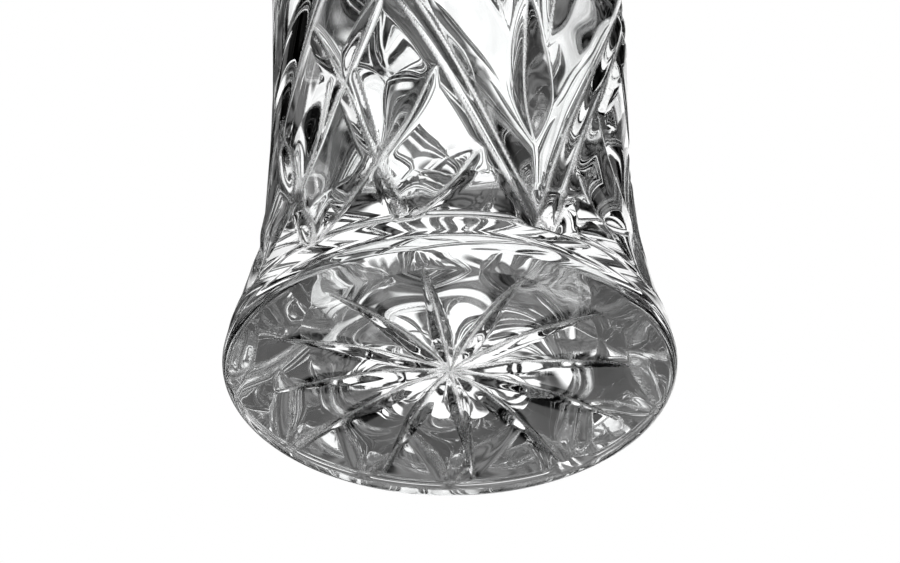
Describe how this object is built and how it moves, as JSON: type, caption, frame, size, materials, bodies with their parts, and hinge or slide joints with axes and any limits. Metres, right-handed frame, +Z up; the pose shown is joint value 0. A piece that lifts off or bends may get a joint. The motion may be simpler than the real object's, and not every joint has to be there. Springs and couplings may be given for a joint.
{
  "type": "cut crystal vase",
  "caption": "Waisted, flaring vase of thick cut crystal on a round foot, with mitre-cut ribbons, leaves and olives and a star ground under the foot.",
  "frame": {"origin": "centre of the flat ring the vase rests on, at table height", "axes": "+Z up along the vase's axis, -Y the side seen in the reference view"},
  "size_m": [0.1135, 0.1134, 0.2399],
  "materials": {
    "crystal": "polished, clear and colourless, wheel-cut outside",
    "foot_crystal": "polished, clear and colourless, star ground underneath"
  },
  "bodies": {
    "root": {"body": "crystal", "foot": "foot_crystal"}
  },
  "joints": []
}
